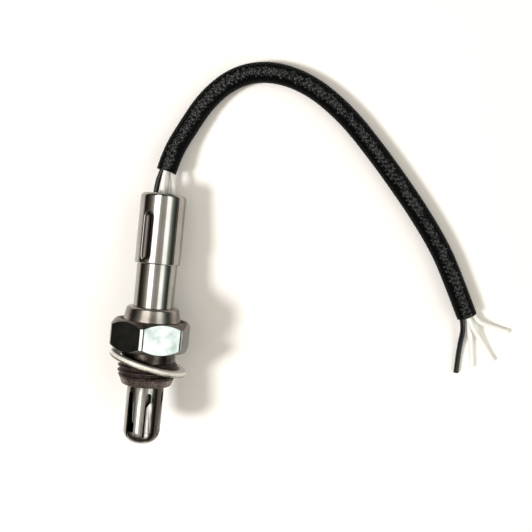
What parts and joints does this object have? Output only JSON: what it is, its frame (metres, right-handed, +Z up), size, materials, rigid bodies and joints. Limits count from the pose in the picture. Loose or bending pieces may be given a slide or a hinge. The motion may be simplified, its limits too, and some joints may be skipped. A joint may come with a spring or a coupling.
{
  "type": "oxygen sensor",
  "caption": "Heated exhaust gas oxygen sensor with louvred nose, hexagon, crush gasket, dented steel cap and flying leads in a woven sleeve.",
  "frame": {"origin": "bottom centre of the rigid sensor's box, where it lies on the floor; the cable is left out of that box", "axes": "+Y along the sensor towards its cable, +Z up, +X to the right towards the cable's free end"},
  "size_m": [0.1219, 0.1177, 0.0253],
  "materials": {
    "turned_steel": "satin",
    "stainless_steel": "polished",
    "gasket_steel": "satin",
    "spring_steel": "satin",
    "zirconia": "matte",
    "alumina": "matte",
    "talc": "matte",
    "grommet_rubber": "matte",
    "black_jacket": "satin",
    "white_jacket": "satin",
    "woven_sleeve": "matte",
    "copper": "satin"
  },
  "bodies": {
    "root": {"housing": "turned_steel", "protection_tube": "stainless_steel", "gasket": "gasket_steel", "lower_seal_ring": "gasket_steel", "sensing_element": "zirconia", "talc_packing": "talc", "ceramic_bush": "alumina", "crimp_ring": "gasket_steel", "signal_contact": "spring_steel", "ground_contact": "spring_steel", "contact_holder": "alumina", "heater_rod": "alumina", "heater_contact_a": "spring_steel", "heater_contact_b": "spring_steel", "terminal_insulator": "alumina", "protective_sleeve": "stainless_steel", "outer_cap": "stainless_steel", "disc_spring": "spring_steel", "grommet": "grommet_rubber", "lead_sleeve": "woven_sleeve", "terminal_black": "spring_steel", "lead_black": "black_jacket", "conductor_black": "copper", "terminal_white_heater_a": "spring_steel", "lead_white_heater_a": "white_jacket", "conductor_white_heater_a": "copper", "terminal_white_ground": "spring_steel", "lead_white_ground": "white_jacket", "conductor_white_ground": "copper", "terminal_white_heater_b": "spring_steel", "lead_white_heater_b": "white_jacket", "conductor_white_heater_b": "copper"}
  },
  "joints": []
}
